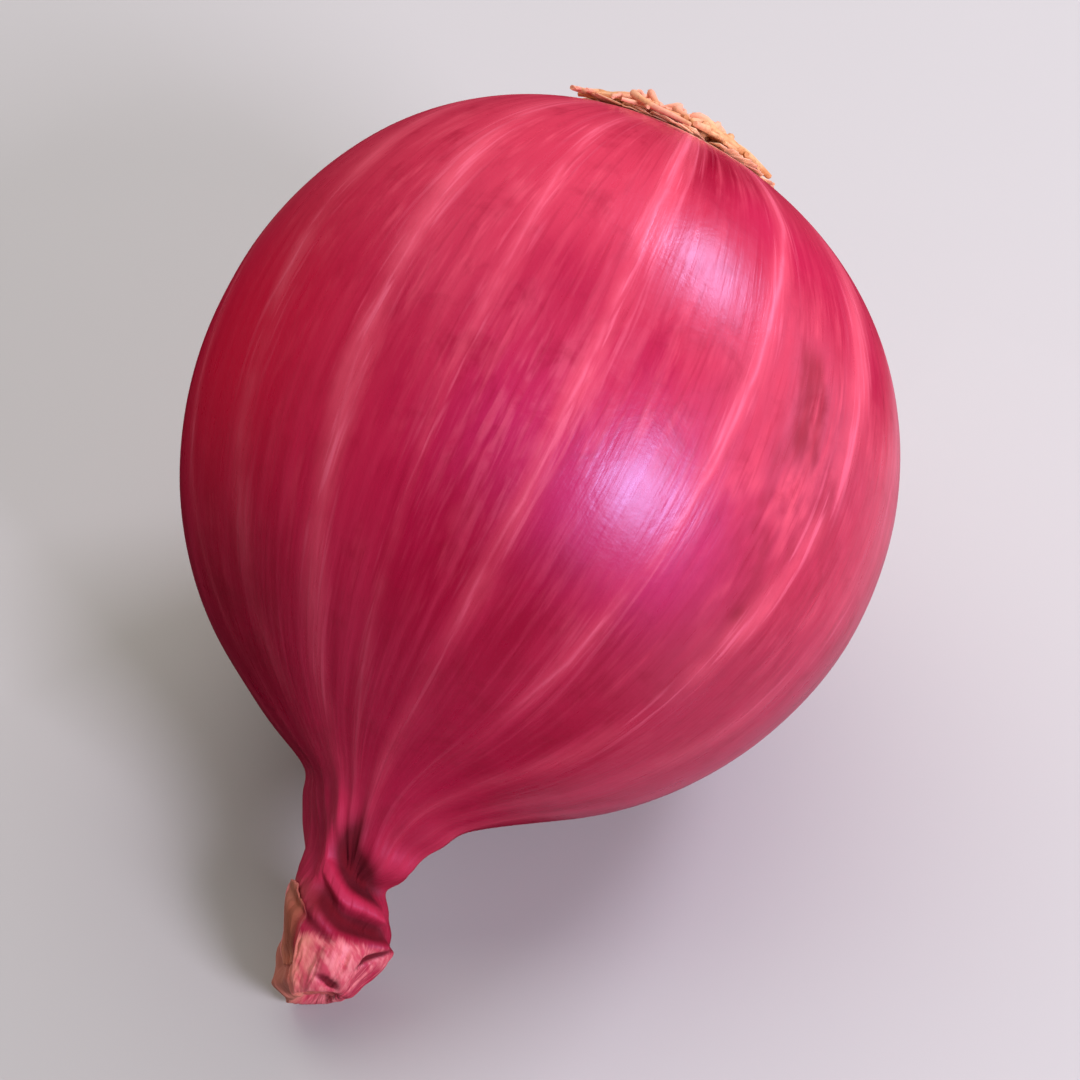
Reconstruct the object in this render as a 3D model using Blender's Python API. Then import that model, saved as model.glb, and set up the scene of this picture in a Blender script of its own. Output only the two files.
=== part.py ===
"""A whole dry red onion, lying on its belly and on the tip of its neck.

Run it with: blender --background --python part.py

Metres, +Z up. The origin is the middle of the small flat spot that the bulb rests on. The neck
points to -Y and down to the surface, and the roots point to +Y and up.
Each piece is first shaped upright in the onion's own frame: the bulb's centre at the origin, the
neck along +Z and the root end along -Z. The empty resting_pose then lays it down.
"""

import math
import random

import bmesh
import bpy
from mathutils import Matrix, Vector

# Driving dimensions of the bulb
BULB_RADIUS = 0.0290
ROOT_SQUARENESS = 2.11  # 2 makes the root half of the belly a ball, and more fills its corners
NECK_STRETCH = 1.035  # the neck half of the belly is this much longer than a ball's half
AXIS_BOW = 0.028 * BULB_RADIUS  # how far the crooked axis has left the straight one at a pole
REST_SPOT_RADIUS = 0.0052
LYING_PITCH = math.radians(29.5)  # how far the neck points below the horizontal

# Stations along the onion's own axis, from the centre of the bulb
SHOULDER_STATION = 0.88 * BULB_RADIUS  # the belly ends, and the neck starts to swing aside
FOLDS_STATION = 0.92 * BULB_RADIUS  # the drying skin starts to fold
SWIRL_STATION = 1.10 * BULB_RADIUS  # the folds start to turn round the neck
WAIST_STATION = 1.27 * BULB_RADIUS
LIP_STATION = 1.42 * BULB_RADIUS
TIP_STATION = 1.63 * BULB_RADIUS

# The dry neck
WAIST_RADIUS = 0.124 * BULB_RADIUS
LIP_RADIUS = 0.142 * BULB_RADIUS
TIP_RADIUS = 0.108 * BULB_RADIUS
TIP_HOLLOW = 0.0010
TIP_SLANT = 0.5  # slope at which the end is cut across, longer on the -X side
NECK_DROOP = 0.0019
NECK_SWING = 0.155 * BULB_RADIUS
NECK_FLATTENING = 0.08
FOLDS = 4
FOLD_DEPTH = 0.10
NECK_TWIST = math.radians(-110)

# The root end
RIM_ANGLE = math.radians(15.6)  # from the root end's pole
DISH_RADIUS = 0.245 * BULB_RADIUS
DISH_DEPTH = 0.0012
PLATE_RADIUS = 0.20 * BULB_RADIUS
PLATE_RISE = 0.0008  # how far the root plate stands proud of the dish's rim
CLEARANCE = 0.0003
ROOT_RADIUS = 0.00052
ROOT_THINNING = 0.45  # share of its thickness that a root loses towards its end
ROOT_SINK = 0.0007  # how deep each root starts inside the plate

# Each whorl of roots: how many, where they start and end in degrees from the root end's pole,
# how high they arch over the skin, and how many degrees they may swerve round the pole
ROOT_WHORLS = (
    {"count": 17, "start": 8.5, "end": 18.0, "arch": 0.0008, "swerve": 12.0},
    {"count": 9, "start": 4.5, "end": 12.5, "arch": 0.0020, "swerve": 20.0},
)
ROOT_SEED = 11

# Facets
SEGMENTS = 44
BELLY_RINGS = 22
SHOULDER_RINGS = 10
FLARE_RINGS = 6
CLOSING_RINGS = 6
TIP_RINGS = 3
PLATE_SEGMENTS = 24
ROOT_SIDES = 6
ROOT_STEPS = 8

SKIN_COLOUR = (0.52, 0.025, 0.10, 1.0)
SKIN_ROUGHNESS = 0.32
ROOT_COLOUR = (0.60, 0.33, 0.12, 1.0)
ROOT_ROUGHNESS = 0.80


def smooth_step(low, high, value):
    """0 below low, 1 above high and a smooth S between them."""
    t = min(1.0, max(0.0, (value - low) / (high - low)))
    return t * t * (3.0 - 2.0 * t)


def bezier(points, steps):
    """The points of a cubic Bezier curve after its first one, each as a 2-D vector."""
    curve = []
    for step in range(1, steps + 1):
        t = step / steps
        weights = ((1 - t) ** 3, 3 * t * (1 - t) ** 2, 3 * t * t * (1 - t), t**3)
        total = Vector((0.0, 0.0))
        for weight, point in zip(weights, points):
            total += weight * Vector(point)
        curve.append(total)
    return curve


def belly_reach(angle):
    """Distance from the bulb's centre to its skin, at an angle from the root end's pole."""
    along, across = abs(math.cos(angle)), math.sin(angle)
    if angle > math.pi / 2:
        return BULB_RADIUS / math.hypot(along / NECK_STRETCH, across)
    power = ROOT_SQUARENESS
    return BULB_RADIUS / (along**power + across**power) ** (1.0 / power)


def rim_station():
    """Where the skin turns into the dish of the root end, on the round of the belly."""
    return -belly_reach(RIM_ANGLE) * math.cos(RIM_ANGLE)


def root_dish_outline():
    """(station, radius) from inside the dish at the root end out to its rim."""
    floor = rim_station() + DISH_DEPTH
    return [
        Vector((floor, DISH_RADIUS * 0.45)),
        Vector((floor, DISH_RADIUS * 0.90)),
        Vector((floor - 0.55 * DISH_DEPTH, DISH_RADIUS * 0.99)),
    ]


def belly_outline():
    """(station, radius) round the belly, from the dish's rim to the shoulder."""
    share = SHOULDER_STATION / (NECK_STRETCH * BULB_RADIUS)
    shoulder_radius = BULB_RADIUS * math.sqrt(1.0 - share**2)
    last = math.pi - math.atan2(shoulder_radius, SHOULDER_STATION)
    outline = []
    for ring in range(BELLY_RINGS + 1):
        angle = RIM_ANGLE + (last - RIM_ANGLE) * ring / BELLY_RINGS
        direction = Vector((-math.cos(angle), math.sin(angle)))
        outline.append(direction * belly_reach(angle))
    return outline


def shoulder_outline(start):
    """(station, radius) from the belly in to the narrowest place of the neck."""
    slope = -start[0] / (NECK_STRETCH**2 * start[1])  # the belly's own slope there
    return bezier(
        (
            start,
            start + 0.17 * BULB_RADIUS * Vector((1.0, slope)),
            (WAIST_STATION - 0.20 * BULB_RADIUS, WAIST_RADIUS + 0.045 * BULB_RADIUS),
            (WAIST_STATION, WAIST_RADIUS),
        ),
        SHOULDER_RINGS,
    )


def neck_outline():
    """(station, radius) from the waist over the flared lip and into its hollow tip."""
    ease = 0.05 * BULB_RADIUS
    flare = bezier(
        (
            (WAIST_STATION, WAIST_RADIUS),
            (WAIST_STATION + ease, WAIST_RADIUS),
            (LIP_STATION - ease, LIP_RADIUS),
            (LIP_STATION, LIP_RADIUS),
        ),
        FLARE_RINGS,
    )
    closing = bezier(
        (
            (LIP_STATION, LIP_RADIUS),
            (LIP_STATION + ease, LIP_RADIUS),
            (TIP_STATION, TIP_RADIUS * 1.35),
            (TIP_STATION, TIP_RADIUS),
        ),
        CLOSING_RINGS,
    )
    hollow = []
    for ring in range(1, TIP_RINGS + 1):
        share = ring / (TIP_RINGS + 1)
        hollow.append(
            Vector((TIP_STATION - TIP_HOLLOW * share, TIP_RADIUS * (1.0 - share)))
        )
    return flare + closing + hollow


def axis_at(station):
    """The crooked axis: bowed along the bulb, then swung aside and drooping along the neck."""
    bow = -AXIS_BOW * (station / BULB_RADIUS) ** 2
    swing = NECK_SWING * smooth_step(SHOULDER_STATION, TIP_STATION, station)
    reach = (station - SHOULDER_STATION) / (TIP_STATION - SHOULDER_STATION)
    droop = NECK_DROOP * max(0.0, reach) ** 2
    return Vector((bow + swing, -droop, station))


def bulb_swell(station, turn):
    """How the round section swells or narrows at this turn: the neck is flattened and folded."""
    dryness = smooth_step(FOLDS_STATION, WAIST_STATION, station)
    twist = NECK_TWIST * smooth_step(SWIRL_STATION, TIP_STATION, station)
    flat = NECK_FLATTENING * math.cos(2.0 * (turn - twist))
    folds = FOLD_DEPTH * math.cos(FOLDS * (turn - twist) + math.sin(2.0 * turn))
    lobes = 0.003 * math.cos(3.0 * turn + 0.8) + 0.002 * math.cos(2.0 * turn)
    return 1.0 + (flat + folds) * dryness + lobes * (1.0 - dryness)


def no_swell(_station, _turn):
    """A true circle at every turn."""
    return 1.0


def add_ring(mesh, station, radius, swell, sides):
    """One closed ring of vertices round the crooked axis."""
    slant = TIP_SLANT * smooth_step(WAIST_STATION, TIP_STATION, station)
    ring = []
    for side in range(sides):
        turn = math.tau * side / sides
        reach = radius * swell(station, turn)
        across, up = reach * math.cos(turn), reach * math.sin(turn)
        spoke = Vector((across, up, -slant * across))
        ring.append(mesh.verts.new(axis_at(station) + spoke))
    return ring


def bridge_rings(mesh, rings, first_pole, last_pole):
    """Skin the rings in order and close both ends with fans."""
    sides = len(rings[0])
    for low, high in zip(rings, rings[1:]):
        for side in range(sides):
            after = (side + 1) % sides
            mesh.faces.new((low[side], low[after], high[after], high[side]))
    for side in range(sides):
        after = (side + 1) % sides
        mesh.faces.new((first_pole, rings[0][after], rings[0][side]))
        mesh.faces.new((last_pole, rings[-1][side], rings[-1][after]))


def finish_object(name, mesh, material):
    """A named object from the bmesh, with outward faces, smooth shading and its material."""
    bmesh.ops.recalc_face_normals(mesh, faces=mesh.faces)
    data = bpy.data.meshes.new(name)
    mesh.to_mesh(data)
    mesh.free()
    data.shade_smooth()
    data.set_sharp_from_angle(angle=math.radians(50))
    data.materials.append(material)
    made = bpy.data.objects.new(name, data)
    bpy.context.scene.collection.objects.link(made)
    return made


def hide_helper(helper):
    """A cutter or a shape that a Boolean joins isn't a piece of the onion itself."""
    helper.hide_render = True
    helper.display_type = "WIRE"


def make_material(name, colour, roughness):
    """A plain material with a Principled shader."""
    material = bpy.data.materials.new(name)
    material.use_nodes = True
    shader = material.node_tree.nodes["Principled BSDF"]
    shader.inputs["Base Color"].default_value = colour
    shader.inputs["Roughness"].default_value = roughness
    shader.inputs["Metallic"].default_value = 0.0
    material.diffuse_color = colour
    return material


def make_bulb(material):
    """The bulb with its dry skin, which runs on into the twisted neck."""
    outline = root_dish_outline() + belly_outline()
    outline += shoulder_outline(outline[-1])
    outline += neck_outline()
    mesh = bmesh.new()
    rings = [
        add_ring(mesh, station, radius, bulb_swell, SEGMENTS)
        for station, radius in outline
    ]
    root_pole = mesh.verts.new(axis_at(rim_station() + DISH_DEPTH))
    tip_pole = mesh.verts.new(axis_at(TIP_STATION - TIP_HOLLOW))
    bridge_rings(mesh, rings, root_pole, tip_pole)
    return finish_object("bulb", mesh, material)


def centre_height():
    """Height of the bulb's centre over the surface, once the belly is flat where it rests."""
    return math.sqrt(BULB_RADIUS**2 - REST_SPOT_RADIUS**2)


def cut_rest_spot(bulb):
    """Trim the belly flat at the surface with a block that stays hidden under it."""
    size = 2.0 * BULB_RADIUS
    mesh = bmesh.new()
    bmesh.ops.create_cube(
        mesh, size=size, matrix=Matrix.Translation((0, 0, -size / 2))
    )
    data = bpy.data.meshes.new("surface_block")
    mesh.to_mesh(data)
    mesh.free()
    block = bpy.data.objects.new("surface_block", data)
    bpy.context.scene.collection.objects.link(block)
    hide_helper(block)
    trim = bulb.modifiers.new("rest spot", "BOOLEAN")
    trim.operation = "DIFFERENCE"
    trim.solver = "EXACT"
    trim.object = block


def make_root_plate(material):
    """The corky plate that the roots grow from: a low dome that sits in the dish."""
    under = rim_station() + DISH_DEPTH - CLEARANCE
    crown = rim_station() - PLATE_RISE
    outline = (
        (crown, PLATE_RADIUS * 0.35),
        (crown + 0.10 * PLATE_RISE, PLATE_RADIUS * 0.72),
        (crown + 0.55 * PLATE_RISE, PLATE_RADIUS * 0.94),
        (rim_station() + 0.3 * DISH_DEPTH, PLATE_RADIUS),
        (under, PLATE_RADIUS * 0.96),
        (under, PLATE_RADIUS * 0.45),
    )
    mesh = bmesh.new()
    rings = [
        add_ring(mesh, station, radius, no_swell, PLATE_SEGMENTS)
        for station, radius in outline
    ]
    crown_pole = mesh.verts.new(axis_at(crown))
    under_pole = mesh.verts.new(axis_at(under))
    bridge_rings(mesh, rings, crown_pole, under_pole)
    return finish_object("root_tuft", mesh, material)


def root_route(start, end, turn, arch, swerve):
    """Points along one root: out of the plate, over its edge and down on to the skin."""
    inside = (PLATE_RISE - ROOT_SINK - rim_station()) / math.cos(start)
    route = []
    for step in range(ROOT_STEPS + 1):
        t = step / ROOT_STEPS
        lean = start + (end - start) * t
        lying = belly_reach(lean) + CLEARANCE + ROOT_RADIUS * 1.15
        height = inside + (lying - inside) * smooth_step(0.0, 0.45, t)
        height += arch * math.sin(math.pi * min(1.0, t * 1.15)) ** 2
        around = turn + swerve * t * t
        across = height * math.sin(lean)
        spoke = Vector((math.cos(around), math.sin(around), 0.0)) * across
        route.append(axis_at(-height * math.cos(lean)) + spoke)
    return route


def make_root(name, route, material):
    """A tapering strand along the route, closed at both ends."""
    mesh = bmesh.new()
    rings = []
    for step, point in enumerate(route):
        before = route[max(0, step - 1)]
        after = route[min(len(route) - 1, step + 1)]
        along = (after - before).normalized()
        side = along.cross(point).normalized()
        up = side.cross(along)
        thickness = ROOT_RADIUS * (1.0 - ROOT_THINNING * (step / ROOT_STEPS) ** 2)
        ring = []
        for corner in range(ROOT_SIDES):
            angle = math.tau * corner / ROOT_SIDES
            spoke = side * math.cos(angle) + up * math.sin(angle)
            ring.append(mesh.verts.new(point + thickness * spoke))
        rings.append(ring)
    first_pole = mesh.verts.new(route[0])
    last_pole = mesh.verts.new(route[-1])
    bridge_rings(mesh, rings, first_pole, last_pole)
    return finish_object(name, mesh, material)


def make_root_tuft(material):
    """The root plate with its two whorls of dry roots, joined into one body."""
    plate = make_root_plate(material)
    strands = bpy.data.collections.new("root_strands")
    bpy.context.scene.collection.children.link(strands)
    chance = random.Random(ROOT_SEED)
    for whorl, settings in enumerate(ROOT_WHORLS):
        spacing = math.tau / settings["count"]
        for number in range(settings["count"]):
            turn = spacing * (number + 0.5 * whorl + chance.uniform(-0.2, 0.2))
            end = settings["end"] + chance.uniform(-2.5, 2.5)
            swerve = settings["swerve"] * chance.uniform(-1.0, 1.0)
            route = root_route(
                math.radians(settings["start"]),
                math.radians(end),
                turn,
                settings["arch"] * chance.uniform(0.8, 1.2),
                math.radians(swerve),
            )
            strand = make_root(f"strand_{whorl}_{number}", route, material)
            bpy.context.scene.collection.objects.unlink(strand)
            strands.objects.link(strand)
            hide_helper(strand)
    join = plate.modifiers.new("grown together", "BOOLEAN")
    join.operation = "UNION"
    join.solver = "EXACT"
    join.operand_type = "COLLECTION"
    join.collection = strands
    return plate, list(strands.objects)


def lay_down(pieces):
    """Hang the pieces on an empty at the bulb's centre and turn the neck down to the surface."""
    pose = bpy.data.objects.new("resting_pose", None)
    bpy.context.scene.collection.objects.link(pose)
    pose.location = (0.0, 0.0, centre_height())
    pose.rotation_euler = (math.pi / 2 + LYING_PITCH, 0.0, 0.0)
    for piece in pieces:
        piece.parent = pose


def main():
    for old in list(bpy.data.objects):
        bpy.data.objects.remove(old)
    skin = make_material("red_onion_skin", SKIN_COLOUR, SKIN_ROUGHNESS)
    dry_root = make_material("dry_root", ROOT_COLOUR, ROOT_ROUGHNESS)
    bulb = make_bulb(skin)
    root_tuft, strands = make_root_tuft(dry_root)
    lay_down([bulb, root_tuft, *strands])
    cut_rest_spot(bulb)


main()
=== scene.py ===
"""A whole dry red onion lying on a pale table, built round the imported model.

Metres, +Z up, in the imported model's own frame. Each piece of the onion is first shaped upright in
the onion's own frame: the bulb's centre at the origin, the neck along +Z and the root end along
-Z. A turn is an angle round that axis, and a station is a distance along it. The onion is then
laid down, with its neck to -Y and its roots to +Y.
"""

import math
from functools import partial

import bmesh
import bpy
from mathutils import Matrix, Vector, noise
from mathutils.bvhtree import BVHTree


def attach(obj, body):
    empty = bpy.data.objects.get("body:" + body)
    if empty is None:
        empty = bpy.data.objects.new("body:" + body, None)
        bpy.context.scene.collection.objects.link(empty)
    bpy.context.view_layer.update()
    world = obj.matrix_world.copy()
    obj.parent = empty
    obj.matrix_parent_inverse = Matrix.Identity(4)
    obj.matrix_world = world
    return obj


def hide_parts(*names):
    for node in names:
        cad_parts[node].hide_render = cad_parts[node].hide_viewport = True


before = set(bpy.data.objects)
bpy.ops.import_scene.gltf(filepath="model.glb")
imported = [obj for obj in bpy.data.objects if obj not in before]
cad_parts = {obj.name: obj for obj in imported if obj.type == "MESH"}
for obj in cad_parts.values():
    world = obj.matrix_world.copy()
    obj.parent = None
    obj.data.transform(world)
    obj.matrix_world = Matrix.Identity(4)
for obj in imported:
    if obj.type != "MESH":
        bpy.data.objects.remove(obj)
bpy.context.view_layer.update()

bl_info = {
    "name": "Dry Red Onion",
    "version": (1, 0, 0),
    "blender": (4, 5, 0),
    "location": "3D View > Sidebar > Onion",
    "description": "Builds a dry red onion, piece by piece, round its packed model",
    "category": "Object",
}

# The bulb, as its solid has it
BULB_RADIUS = 0.0290
ROOT_SQUARENESS = 2.11
NECK_STRETCH = 1.035
AXIS_BOW = 0.028
REST_SPOT_RADIUS = 0.0052
LYING_PITCH = math.radians(29.5)
CENTRE_HEIGHT = math.sqrt(BULB_RADIUS**2 - REST_SPOT_RADIUS**2)
BULB_MIDDLE = Vector((0.0, 0.0, CENTRE_HEIGHT))
LAID_DOWN = Matrix.Translation(BULB_MIDDLE) @ Matrix.Rotation(math.pi / 2 + LYING_PITCH, 4, "X")

# Stations along the onion's axis and radii round it, in bulb radii
SHOULDER_STATION = 0.88
FOLDS_STATION = 0.92
SWIRL_STATION = 1.10
WAIST_STATION = 1.27
LIP_STATION = 1.42
TIP_STATION = 1.63
WAIST_RADIUS = 0.124
LIP_RADIUS = 0.142
TIP_RADIUS = 0.108
TIP_HOLLOW = 0.085
TIP_SLANT = 0.5
NECK_DROOP = 0.0655
NECK_SWING = 0.155
RIM_ANGLE = math.radians(15.6)
DISH_RADIUS = 0.245
DISH_DEPTH = 0.0414
PLATE_RADIUS = 0.20
PLATE_RISE = 0.0276
CLEARANCE = 0.0003  # metres

# Rings of the skin's net along each stretch of its outline
DISH_RINGS = 10
BELLY_RINGS = 92
SHOULDER_RINGS = 44
FLARE_RINGS = 36
CLOSING_RINGS = 32
HOLLOW_RINGS = 10
SKIN_SEGMENTS = 400
MERGE_DISTANCE = 0.000002  # metres

# The root plate's net
PLATE_RINGS = 16
PLATE_SIDES = 72
PLATE_MERGE_DISTANCE = 0.000005  # metres

DEGREE = math.pi / 180.0  # radians
SEAM_TURN = 262.0  # the skin's seam runs under the belly, where the onion rests
NECK_TOP_TURN = 60.0  # the middle of the neck's upper side

# Each vein: its turn in degrees, how strong its pale band is, how strong its fine line is, and
# how wide its band is, in millimetres
VEINS = (
    (277.0, 0.55, 0.30, 2.2),
    (297.0, 0.75, 0.10, 1.8),
    (318.0, 0.50, 0.60, 1.6),
    (341.0, 0.80, 0.20, 2.4),
    (363.0, 0.55, 0.15, 2.6),
    (383.0, 0.95, 0.15, 2.3),
    (406.0, 0.60, 0.90, 1.3),
    (430.0, 0.80, 1.00, 1.7),
    (447.5, 0.55, 0.70, 1.5),
    (463.0, 0.95, 0.25, 2.3),
    (485.0, 0.85, 0.25, 2.1),
    (506.0, 0.45, 0.50, 1.6),
    (527.0, 0.75, 0.20, 2.2),
    (549.0, 0.60, 0.80, 1.5),
    (571.0, 0.85, 0.20, 2.4),
    (592.0, 0.50, 0.55, 1.7),
    (611.0, 0.70, 0.25, 2.0),
)
VEIN_LEAN = 10.0  # degrees that the veins lean towards the onion's upper side
UPPER_TURN = 70.0
WIDEST_VEIN = 4.0  # millimetres

# Patches of colour on the belly. Each: its colour, its strength, its turn in degrees, its station
# in bulb radii and its radius in metres. The skin's streaks run over the mottled ones. Some paint
# light: the purple ones round the lower highlight are partly a painted glow, the bright red ones
# lift the shaded side with painted light, and the deep red ones towards the neck are partly
# painted shade.
MOTTLED_PATCHES = (
    ("ashen", 0.90, 31.0, -0.30, 0.0105),
    ("ashen", 0.60, 29.0, 0.38, 0.0070),
    ("crimson", 0.85, 78.5, -0.32, 0.0048),
    ("crimson", 0.75, 60.0, -0.24, 0.0044),
    # These purple patches round the lower highlight are partly the skin's own tint and partly a painted glow
    ("magenta", 0.80, 56.0, 0.12, 0.0075),
    ("magenta", 0.60, 78.0, 0.10, 0.0060),
    ("magenta", 0.80, 53.0, 0.24, 0.0058),
    # These three deep red patches towards the neck are partly mottling and partly painted shade
    ("deep", 0.40, 84.0, 0.60, 0.0075),
    ("deep", 0.60, 54.0, 0.57, 0.0100),
    ("deep", 0.55, 63.0, 0.38, 0.0075),
    # Painted light: this bright red patch lifts the belly's shaded side
    ("scarlet", 0.85, 133.0, 0.20, 0.0095),
    ("crimson", 0.70, 106.0, 0.06, 0.0165),
    ("crimson", 0.85, 52.0, -0.81, 0.0042),
    ("crimson", 0.85, 38.0, -0.73, 0.0042),
    ("crimson", 0.75, 24.0, -0.62, 0.0038),
    ("crimson", 0.65, 13.0, -0.50, 0.0035),
    # The next two deep red patches, towards the neck, are partly mottling and partly painted shade
    ("deep", 0.80, 125.0, 0.72, 0.0150),
    ("deep", 0.45, 22.0, 0.80, 0.0090),
    ("deep", 1.00, 60.0, -0.865, 0.0062),
)
CLEAR_PATCHES = (
    # Painted light: this bright red patch lifts the belly's shaded side
    ("scarlet", 0.80, 131.0, 0.170, 0.0125),
    ("rose", 0.85, 44.0, -0.765, 0.0042),
    ("rose", 0.50, 32.5, -0.716, 0.0030),
    ("rose", 0.80, 18.0, -0.745, 0.0034),
    ("rose", 0.60, 13.5, -0.600, 0.0036),
    # These purple patches round the lower highlight are partly the skin's own tint and partly a painted glow
    ("magenta", 0.55, 61.0, 0.180, 0.0050),
    ("magenta", 0.45, 45.0, 0.210, 0.0050),
    # These two deep red patches are partly mottling and partly painted shade on the lower belly
    ("deep", 0.38, 13.5, 0.600, 0.0055),
    ("deep", 0.30, 22.0, 0.370, 0.0048),
    ("crimson", 0.45, 56.5, -0.570, 0.0060),
)

GLOSS_TINT = (0.50, 0.64, 1.0, 1.0)  # the skin's gloss is cooler than its colour

# The roots. Angles are in degrees from the root end's pole, each between its least and its most.
ROOT_STEPS = 14
ROOT_SIDES = 7
ROOT_TURN_STEP = 2.399963  # radians from one root to the next, so that no two lie in line
ROOT_STARTS = (1.0, 9.5)
SHORT_ROOT_ENDS = (9.5, 15.0)
LONG_ROOT_ENDS = (15.0, 21.0)
SHORT_ROOT_SHARE = 0.62  # of all the roots
ROOT_ARCHES = (0.0002, 0.0010)  # metres that roots hump over the skin
ROOT_SINK = 0.024  # bulb radii that roots start below the plate's crown
ROOT_LEAN = 0.26  # how much further the roots reach on one side

# The torn tongues of skin round the root plate, with angles as for the roots
TONGUES = 46
TONGUE_START = 13.2
TONGUE_ENDS = (15.6, 18.4)
TONGUE_HALF_WIDTHS = (0.10, 0.24)  # radians round the pole
TONGUE_LIFTS = (0.003, 0.022)  # bulb radii that their ends stand off the skin

# The dry outer scale that comes loose beside the neck: its grown side and its free side, in
# degrees, the stations of its torn top at both sides and of its foot, and how far its free side
# stands off, in metres
SCALE_GROWN, SCALE_FREE = 108.0, 143.0
SCALE_TOP_GROWN, SCALE_TOP_FREE = 1.425, 1.338
SCALE_FOOT = 1.600
SCALE_LIFT = 0.00042

# Each dry scale rolled up inside the neck's end: share of the end's radius, first and last turn in
# degrees, and how far its torn edge stands past the end, in bulb radii
ROLLED_SCALES = (
    (0.66, 20.0, 320.0, -0.030),
    (0.45, 150.0, 470.0, -0.020),
    (0.25, 260.0, 560.0, -0.034),
)

# Columns and rows of the scales' nets
LOOSE_SCALE_NET = (90, 60)
ROLLED_SCALE_NET = (80, 12)

# Thicknesses of the thin dry pieces, in metres
SCALE_THICKNESS = 0.00014
ROLLED_THICKNESS = 0.00016
TONGUE_THICKNESS = 0.00008

# Opposite corners (x, y) of the table top and of the card on it, in metres
TABLE_CORNERS = ((-1.5, -1.5), (1.5, 1.5))
CARD_CORNERS = ((0.012, -0.030), (0.070, 0.058))
CARD_HEIGHT = 0.0004
FILM_WIDTH = 36.0  # millimetres

# Each light: its name, its direction from the bulb, its distance, its width and height, its
# power, its colour and whether the gloss shows it
LIGHTS = (
    ("back_window", (0.353, 0.723, 0.593), 0.60, 0.22, 0.16, 2.5, (0.84, 0.79, 1.0), True),
    ("side_window", (0.79, -0.306, 0.527), 0.60, 0.18, 0.21, 3.8, (0.84, 0.79, 1.0), True),
    ("left_softbox", (-0.88, -0.10, 0.46), 1.20, 1.20, 1.20, 3.3, (1.0, 0.97, 0.95), False),
    ("top_softbox", (-0.22, 0.42, 0.88), 1.20, 1.60, 1.60, 14.6, (1.0, 0.98, 0.95), False),
)


# ------------------------------------------------------------------ node trees from formulas


class Formula:
    """A value inside a node tree. Arithmetic on it adds the nodes that work it out."""

    def __init__(self, tree, socket):
        self.tree = tree
        self.socket = socket

    def __add__(self, other):
        return calculate("ADD", self, other)

    def __radd__(self, other):
        return calculate("ADD", other, self)

    def __sub__(self, other):
        return calculate("SUBTRACT", self, other)

    def __rsub__(self, other):
        return calculate("SUBTRACT", other, self)

    def __mul__(self, other):
        return calculate("MULTIPLY", self, other)

    def __rmul__(self, other):
        return calculate("MULTIPLY", other, self)

    def __truediv__(self, other):
        return calculate("DIVIDE", self, other)

    def __rtruediv__(self, other):
        return calculate("DIVIDE", other, self)

    def __neg__(self):
        return calculate("MULTIPLY", self, -1.0)


def wire(value, socket):
    """Link a formula to a socket, or write a plain value on it."""
    if isinstance(value, Formula):
        value.tree.links.new(value.socket, socket)
    else:
        socket.default_value = value


def calculate(operation, *values):
    """One Math node."""
    tree = next(value.tree for value in values if isinstance(value, Formula))
    node = tree.nodes.new("ShaderNodeMath")
    node.operation = operation
    for value, socket in zip(values, node.inputs):
        wire(value, socket)
    return Formula(tree, node.outputs[0])


def sine(angle):
    return calculate("SINE", angle)


def cosine(angle):
    return calculate("COSINE", angle)


def at_most(limit, value):
    """The value where it is under the limit, and the limit elsewhere."""
    return calculate("MINIMUM", value, limit)


def at_least(limit, value):
    """The value where it is over the limit, and the limit elsewhere."""
    return calculate("MAXIMUM", value, limit)


def bell(value):
    """1 where the value is 0, falling smoothly to nothing on both sides."""
    return calculate("EXPONENT", -(value * value))


def peak(value, middle, width):
    """1 where the value is at the middle, fading to nothing over a width on both sides."""
    return bell((value - middle) / width)


def ramp(low, high, value):
    """0 below low, 1 above high and a smooth S between them. Low may be the larger one."""
    node = value.tree.nodes.new("ShaderNodeMapRange")
    node.interpolation_type = "SMOOTHSTEP"
    flipped = low > high
    wire(value, node.inputs["Value"])
    node.inputs["From Min"].default_value = min(low, high)
    node.inputs["From Max"].default_value = max(low, high)
    node.inputs["To Min"].default_value = 1.0 if flipped else 0.0
    node.inputs["To Max"].default_value = 0.0 if flipped else 1.0
    return Formula(value.tree, node.outputs["Result"])


def between(value, start, full, fading, end):
    """1 from full to fading, with a smooth rise before it and a smooth fall after it."""
    return ramp(start, full, value) * ramp(end, fading, value)


def blend(first, second, share):
    """The first value where the share is 0 and the second one where it is 1."""
    return share * (second - first) + first


def combine(x, y, z):
    """A vector from three numbers, of which x is a formula."""
    node = x.tree.nodes.new("ShaderNodeCombineXYZ")
    for value, socket in zip((x, y, z), node.inputs):
        wire(value, socket)
    return Formula(x.tree, node.outputs[0])


def separate(vector):
    """The three numbers of a vector."""
    node = vector.tree.nodes.new("ShaderNodeSeparateXYZ")
    wire(vector, node.inputs[0])
    return [Formula(vector.tree, output) for output in node.outputs]


def cloud(vector, scale=1.0, detail=2.0, roughness=0.5, distortion=0.0):
    """Soft noise between 0 and 1 over a vector."""
    return result(
        vector.tree,
        "ShaderNodeTexNoise",
        vector=vector,
        scale=scale,
        detail=detail,
        roughness=roughness,
        distortion=distortion,
    )


def mix_colours(share, first, second):
    """A colour between two others, each a formula or a plain colour."""
    node = share.tree.nodes.new("ShaderNodeMix")
    node.data_type = "RGBA"
    wire(share, node.inputs[0])
    wire(first, node.inputs[6])
    wire(second, node.inputs[7])
    return Formula(share.tree, node.outputs[2])


def lay_over(base, settings, *coats):
    """Lay coats over a base, each a share and either a colour or the name of one in the settings."""
    for share, colour in coats:
        if isinstance(colour, str):
            colour = getattr(settings, colour)
        base = mix_colours(share, base, colour)
    return base


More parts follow.
